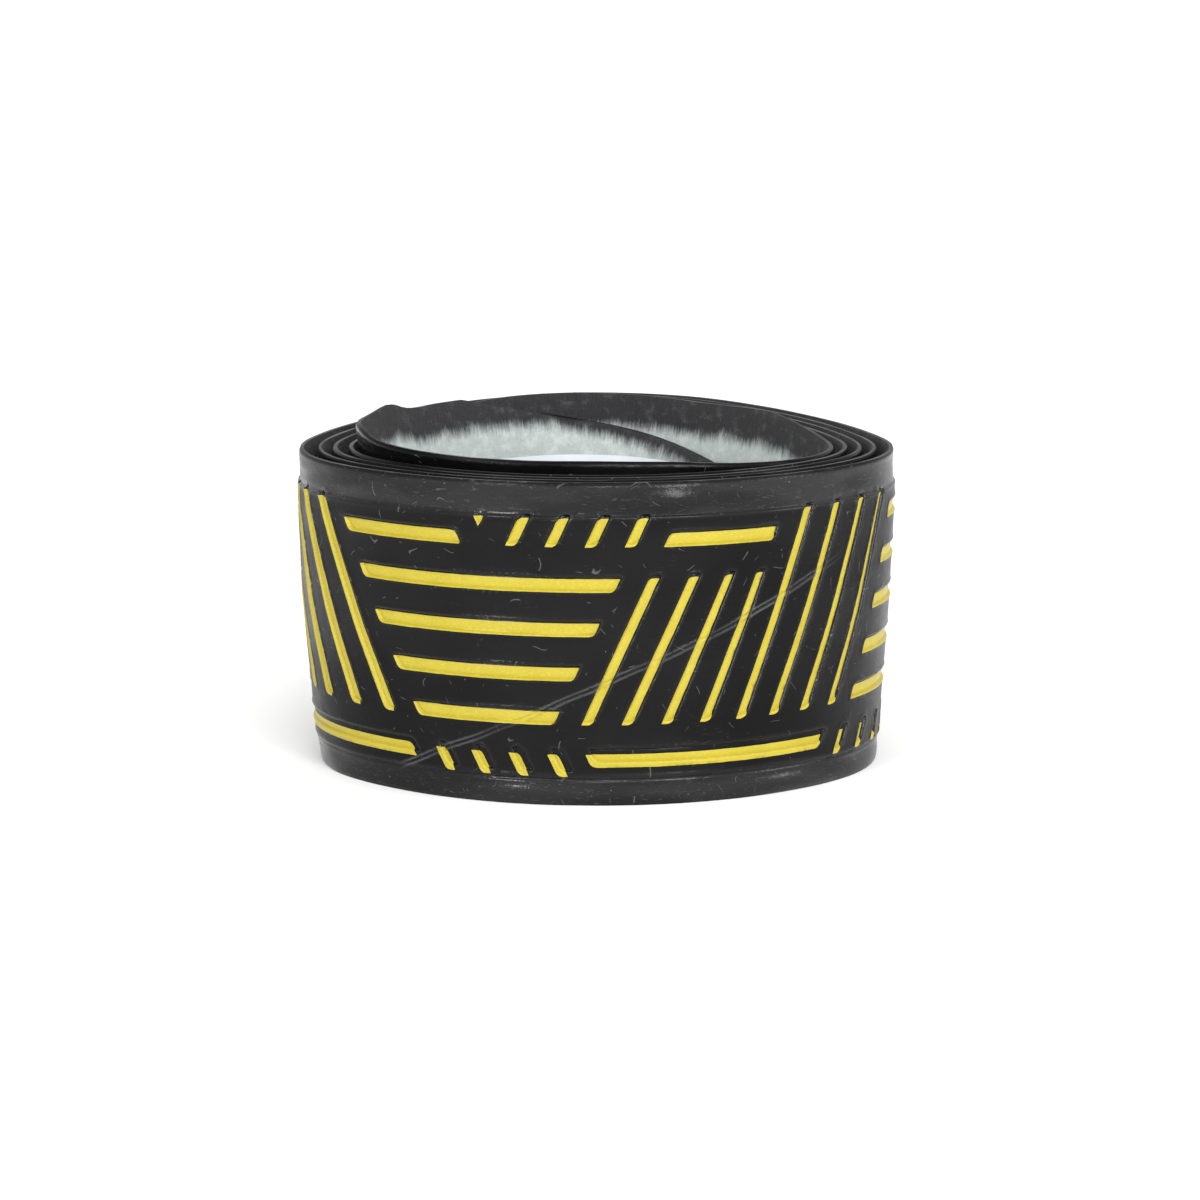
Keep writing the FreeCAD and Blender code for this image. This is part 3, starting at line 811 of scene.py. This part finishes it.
def film_material():
    """Satin black polyurethane: fine grain, rubbed borders, dust, lint and short scratches,
    with painted shade that makes the inner turns near black and a painted highlight on the fold
    ridges.
    """
    n = Nodes("film_black")
    broad = n.noise(9, 7, 3)
    grain = n.noise(0.16, 0.16, 2, 0.6)
    fine = n.noise(0.5, 0.4, 3, 0.6)
    patch = n.ramp(n.noise(5.5, 4.0, 4, 0.6, 0.6), 0.54, 0.68)
    streak = n.ramp(n.noise(1.1, 0.20, 4, 0.7, 1.6), 0.58, 0.72)
    up = n.axis("Y")
    border = n.math("MAXIMUM", n.ramp(up, TOP_LINE - 0.4, TOP_LINE + 0.2),
                    n.ramp(up, BOTTOM_LINE - 0.2, BOTTOM_LINE + 0.5, 1.0, 0.0))
    # outside: 1 on the outer turn, 0 on the inner turns; it limits the scuffs and the border
    # tone, and sets where the painted shade starts.
    outside = n.ramp(n.axis("X"), LENGTH - 175, LENGTH - 150)
    worn = n.math("MAXIMUM", n.math("MULTIPLY", patch, 0.45), n.math("MULTIPLY", border, 0.9))
    scuff = n.math("MULTIPLY", n.math("MULTIPLY", streak, worn), outside)
    lint = n.math("MAXIMUM", n.hairs(3.4, 1.9, 0.61), n.hairs(2.1, 1.5, 0.63))
    dust = n.math("MULTIPLY", n.ramp(n.cells(0.9).outputs["Distance"], 0.03, 0.07, 1.0, 0.0),
                  n.ramp(n.noise(2.6, 2.6, 2), 0.54, 0.60))
    fold = n.stored("fold")
    base = n.mix(broad, (0.0022, 0.0022, 0.0025), (0.0060, 0.0058, 0.0064))
    base = n.mix(n.math("MULTIPLY", border, outside), base, (0.0055, 0.0054, 0.0060))
    # Painted shade: the inner turns, behind the outer one, are darkened to near black.
    base = n.mix(outside, (0.0012, 0.0012, 0.0013), base)
    base = n.mix(n.math("MULTIPLY", scuff, 0.5), base, (0.11, 0.115, 0.125))
    base = n.mix(n.math("MULTIPLY", lint, 0.20), base, (0.30, 0.30, 0.31))
    base = n.mix(n.math("MULTIPLY", dust, 0.5), base, (0.30, 0.30, 0.31))
    # Painted highlight: the fold ridges are lightened.
    base = n.mix(n.math("MULTIPLY", fold, 0.42), base, (0.17, 0.175, 0.18))
    rough = n.math("ADD", n.ramp(broad, 0.3, 0.7, 0.30, 0.40),
                   n.math("MULTIPLY", patch, -0.06))
    rough = n.math("ADD", rough, n.math("MULTIPLY", fine, 0.06), clamp=True)
    normal = n.bump(grain, 0.20, 0.00004)
    normal = n.bump(fine, 0.16, 0.00010, normal)
    normal = n.bump(scuff, 0.5, 0.00005, normal)
    polish = n.ramp(n.noise(16, 11, 1), 0.30, 0.70, 0.06, 0.26)
    border_polish = n.ramp(n.noise(13, 3, 2), 0.38, 0.62, 0.25, 0.75)
    polish = n.math("ADD", polish, n.math("MULTIPLY", border, border_polish))
    rim = n.stored("rim")
    polish = n.math("ADD", polish, n.math("MULTIPLY", rim, 0.55), clamp=True)
    polish = n.math("MULTIPLY", polish, n.ramp(up, WIDTH - 0.35, WIDTH - 0.15, 1.0, 0.0))
    n.set(Base_Color=base, Roughness=rough, Normal=normal, Coat_Weight=polish,
          Coat_Roughness=0.17, Coat_IOR=1.35)
    n.link(n.bump(fine, 0.36, 0.00010, n.bump(grain, 0.10, 0.00003)),
           n.shader.inputs["Coat Normal"])
    n.shader.inputs["Specular IOR Level"].default_value = 0.07
    return n.material


def ink_material():
    """Yellow print: satin, a little uneven, with darker pinholes and painted shade along the
    folds.
    """
    n = Nodes("ink_yellow")
    broad = n.noise(3.0, 3.0, 3)
    fine = n.noise(0.30, 0.22, 3, 0.6)
    holes = n.ramp(n.cells(0.55).outputs["Distance"], 0.03, 0.07, 1.0, 0.0)
    holes = n.math("MULTIPLY", holes, n.ramp(n.noise(1.2, 1.2, 2), 0.58, 0.64))
    fold = n.stored("fold")
    base = n.mix(broad, (0.335, 0.265, 0.0125), (0.43, 0.357, 0.028))
    base = n.mix(n.ramp(fine, 0.45, 0.8, 0.0, 0.5), base, (0.50, 0.43, 0.085))
    base = n.mix(n.math("MULTIPLY", holes, 0.6), base, (0.20, 0.15, 0.02))
    # Painted shade: the print is darkened along the folds.
    base = n.mix(n.math("MULTIPLY", fold, 0.35), base, (0.22, 0.17, 0.01))
    normal = n.bump(fine, 0.25, 0.00008)
    n.set(Base_Color=base, Roughness=n.ramp(broad, 0.3, 0.7, 0.34, 0.46), Normal=normal)
    n.shader.inputs["Specular IOR Level"].default_value = 0.30
    return n.material


def felt_material():
    """Nonwoven felt, pale green-grey, sprayed black from its long edges in fuzzy streaks."""
    n = Nodes("felt_grey")
    edge = n.stored("dye_mm")
    streak = n.noise(0.22, 1.6, 4, 0.7)
    wide = n.noise(2.2, 6.0, 3)
    fibre = n.noise(0.14, 1.0, 3, 0.7, 0.5)
    speck = n.noise(0.22, 0.22, 3, 0.7)
    reach = n.math("ADD", edge, n.math("MULTIPLY", n.math("SUBTRACT", streak, 0.5), -1.5))
    reach = n.math("ADD", reach, n.math("MULTIPLY", n.math("SUBTRACT", wide, 0.5), -1.8))
    dark = n.ramp(reach, 2.20, 3.70, 1.0, 0.0)
    pale = n.mix(speck, (0.28, 0.32, 0.305), (0.45, 0.49, 0.475))
    pale = n.mix(n.ramp(fibre, 0.5, 0.8, 0.0, 0.5), pale, (0.54, 0.575, 0.565))
    mottle = n.noise(1.5, 1.1, 4, 0.68)
    pale = n.mix(n.ramp(mottle, 0.42, 0.68, 0.0, 0.5), pale, (0.56, 0.605, 0.59))
    black = n.mix(fibre, (0.008, 0.008, 0.009), (0.040, 0.039, 0.041))
    black = n.mix(n.ramp(mottle, 0.50, 0.72, 0.0, 0.55), black, (0.075, 0.078, 0.078))
    base = n.mix(dark, pale, black)
    height = n.math("ADD", fibre, n.math("MULTIPLY", speck, 0.7))
    n.set(Base_Color=base, Roughness=0.92, Normal=n.bump(height, 0.7, 0.00018))
    n.shader.inputs["Sheen Weight"].default_value = 0.04
    n.shader.inputs["Sheen Roughness"].default_value = 0.6
    n.shader.inputs["Specular IOR Level"].default_value = 0.08
    return n.material


def liner_material():
    """Release liner: smooth, cool white, faintly rippled."""
    n = Nodes("liner_white")
    broad = n.noise(7, 4, 3)
    fine = n.noise(0.6, 0.6, 3)
    base = n.mix(broad, (0.55, 0.585, 0.61), (0.62, 0.65, 0.67))
    base = n.mix(n.math("MULTIPLY", fine, 0.25), base, (0.48, 0.51, 0.54))
    n.set(Base_Color=base, Roughness=n.ramp(fine, 0.3, 0.7, 0.36, 0.5),
          Normal=n.bump(broad, 0.25, 0.0004))
    return n.material


def adhesive_material():
    """Tacky film: pale, slightly yellow and glossy."""
    n = Nodes("adhesive_clear")
    broad = n.noise(2, 2, 3)
    base = n.mix(broad, (0.52, 0.51, 0.44), (0.64, 0.63, 0.56))
    n.set(Base_Color=base, Roughness=n.ramp(broad, 0.3, 0.7, 0.15, 0.3),
          Normal=n.bump(broad, 0.3, 0.0002))
    return n.material


def floor_material():
    """Matt white board with a faint speckle."""
    n = Nodes("floor_pale")
    speckle = n.node("ShaderNodeTexNoise")
    n.link(n.node("ShaderNodeTexCoord").outputs["Object"], speckle.inputs["Vector"])
    speckle.inputs["Scale"].default_value = 40
    base = n.mix(speckle.outputs["Fac"], (0.90, 0.90, 0.90), (0.93, 0.93, 0.93))
    n.set(Base_Color=base, Roughness=0.8)
    n.shader.inputs["Specular IOR Level"].default_value = 0.1
    return n.material


# ---------------------------------------------------------------- the pieces
def attach(piece, number, layer):
    """Let the coil's length of a layer ride the coil's body, or fix a tail length's place into
    its mesh, and hide the CAD part that it stands for.
    """
    if number == 0:
        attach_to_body(piece, "coil")
    else:
        hinge = TAIL + (number - 1) * SEGMENT
        ends = place([hinge - SEGMENT / 2 + 0.2, hinge + SEGMENT / 2 - 0.2], -0.6, WIDTH / 2)
        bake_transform(piece)
    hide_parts(layer if number == 0 else "%s_tail_%d" % (layer, number))


def piece_name(layer, number):
    """The name of one length of a layer."""
    return layer + "_coil" if number == 0 else "%s_bend_%d" % (layer, number)


def make_film_and_ink():
    """The film and the print in its grooves, length by length."""
    verts, tris, inked, height, rubbed = strip_surface()
    back = film_back(verts[:, 1])
    film, ink = film_material(), ink_material()
    ends = piece_ends()
    middle = verts[tris].mean(axis=1)[:, 0]
    for number in range(len(ends) - 1):
        inside = (middle > ends[number]) & (middle < ends[number + 1])
        points, faces, uv = shell(verts, tris[inside], height, back)
        piece = build(piece_name("film", number), points, faces, uv, film, 70)
        # fold: the fold ridges, lightened on the film as a painted highlight.
        store(piece, "fold", fold_mark(uv))
        store(piece, "rim", np.tile(rubbed[np.unique(tris[inside])], 2))
        attach(piece, number, "film")
        printed = tris[inside & inked]
        points, faces, uv = shell(verts, printed, height + INK_FACE, height + INK_BACK)
        piece = build(piece_name("inlay", number), points, faces, uv, ink, 70)
        # fold: where the print's material paints shade along the folds.
        store(piece, "fold", fold_mark(uv))
        attach(piece, number, "inlay")


def make_backing():
    """Felt, adhesive and liner, length by length."""
    felt, adhesive, liner = felt_material(), adhesive_material(), liner_material()
    ends = piece_ends()
    for number in range(len(ends) - 1):
        start, end = ends[number], ends[number + 1]
        piece = band(piece_name("felt", number), start, end, 0.9,
                     lambda s: np.zeros_like(s), top_edge,
                     lambda s, z: film_back(z) - 0.004, felt_inner, 44, felt)
        attach(piece, number, "felt")
        bottom, top = widths(ADHESIVE_HALF)
        piece = band(piece_name("adhesive", number), start, end, 1.5, bottom, top,
                     lambda s, z: ADHESIVE_FACE + 0 * z, lambda s, z: ADHESIVE_BACK + 0 * z,
                     5, adhesive)
        attach(piece, number, "adhesive")
        bottom, top = widths(LINER_HALF)
        piece = band(piece_name("liner", number), start, end, 1.0, bottom, top,
                     lambda s, z: LINER_FACE + 0.02 * noise(s, z, 5, 5, 8),
                     lambda s, z: LINER_BACK + 0.02 * noise(s, z, 5, 5, 8), 14, liner)
        attach(piece, number, "liner")


make_film_and_ink()
make_backing()


# ---------------------------------------------------------------- floor, light and camera
FLOOR_REACH = 6.0
VIEW_ANGLE = 16.1088
CAMERA_AT = (0.0003, -0.3801, 0.0832)
CAMERA_DOWN = 10.5
# Each softbox: its name, place, width and height in metres, and power in watts.
SOFTBOXES = [("softbox_front", (0.10, -0.50, 0.52), (0.20, 0.14), 1.1),
             ("softbox_low", (0.06, -0.62, 0.16), (0.07, 0.03), 0.45),
             ("softbox_right", (0.42, -0.78, 0.28), (0.16, 0.30), 3.2),
             ("softbox_side", (0.82, -0.30, 0.26), (0.20, 0.30), 2.0),
             ("softbox_left", (-0.50, -0.74, 0.26), (0.14, 0.28), 3.2)]


def studio():
    """A white floor, an even white sky, soft lamps and the camera."""
    mesh = bpy.data.meshes.new("floor")
    reach = FLOOR_REACH
    mesh.from_pydata([(-reach, -reach, 0), (reach, -reach, 0), (reach, reach, 0),
                      (-reach, reach, 0)], [], [(0, 1, 2, 3)])
    mesh.materials.append(floor_material())
    floor = bpy.data.objects.new("floor", mesh)
    bpy.context.scene.collection.objects.link(floor)

    world = bpy.data.worlds.new("studio")
    world.use_nodes = True
    world.node_tree.nodes["Background"].inputs[0].default_value = (1, 1, 1, 1)
    world.node_tree.nodes["Background"].inputs[1].default_value = 1.0
    bpy.context.scene.world = world
    bpy.context.scene.view_settings.view_transform = "Standard"

    def lamp(name, kind, at, aim, power, **settings):
        light = bpy.data.lights.new(name, kind)
        light.energy = power
        for key, value in settings.items():
            setattr(light, key, value)
        lit = bpy.data.objects.new(name, light)
        lit.location = at
        lit.rotation_euler = (Vector(aim) - Vector(at)).to_track_quat("-Z", "Y").to_euler()
        bpy.context.scene.collection.objects.link(lit)

    lamp("overhead", "SUN", (0, 0, 2), (0, 0.15, 0), 0.35, angle=math.radians(70))
    for name, at, size, power in SOFTBOXES:
        lamp(name, "AREA", at, (0, 0, 0.02), power, shape="RECTANGLE", size=size[0],
             size_y=size[1])

    camera = bpy.data.cameras.new("camera")
    camera.sensor_fit = "HORIZONTAL"
    camera.angle = math.radians(VIEW_ANGLE)
    seen = bpy.data.objects.new("camera", camera)
    seen.location = CAMERA_AT
    seen.rotation_euler = (math.radians(90 - CAMERA_DOWN), 0, 0)
    bpy.context.scene.collection.objects.link(seen)
    bpy.context.scene.camera = seen


studio()
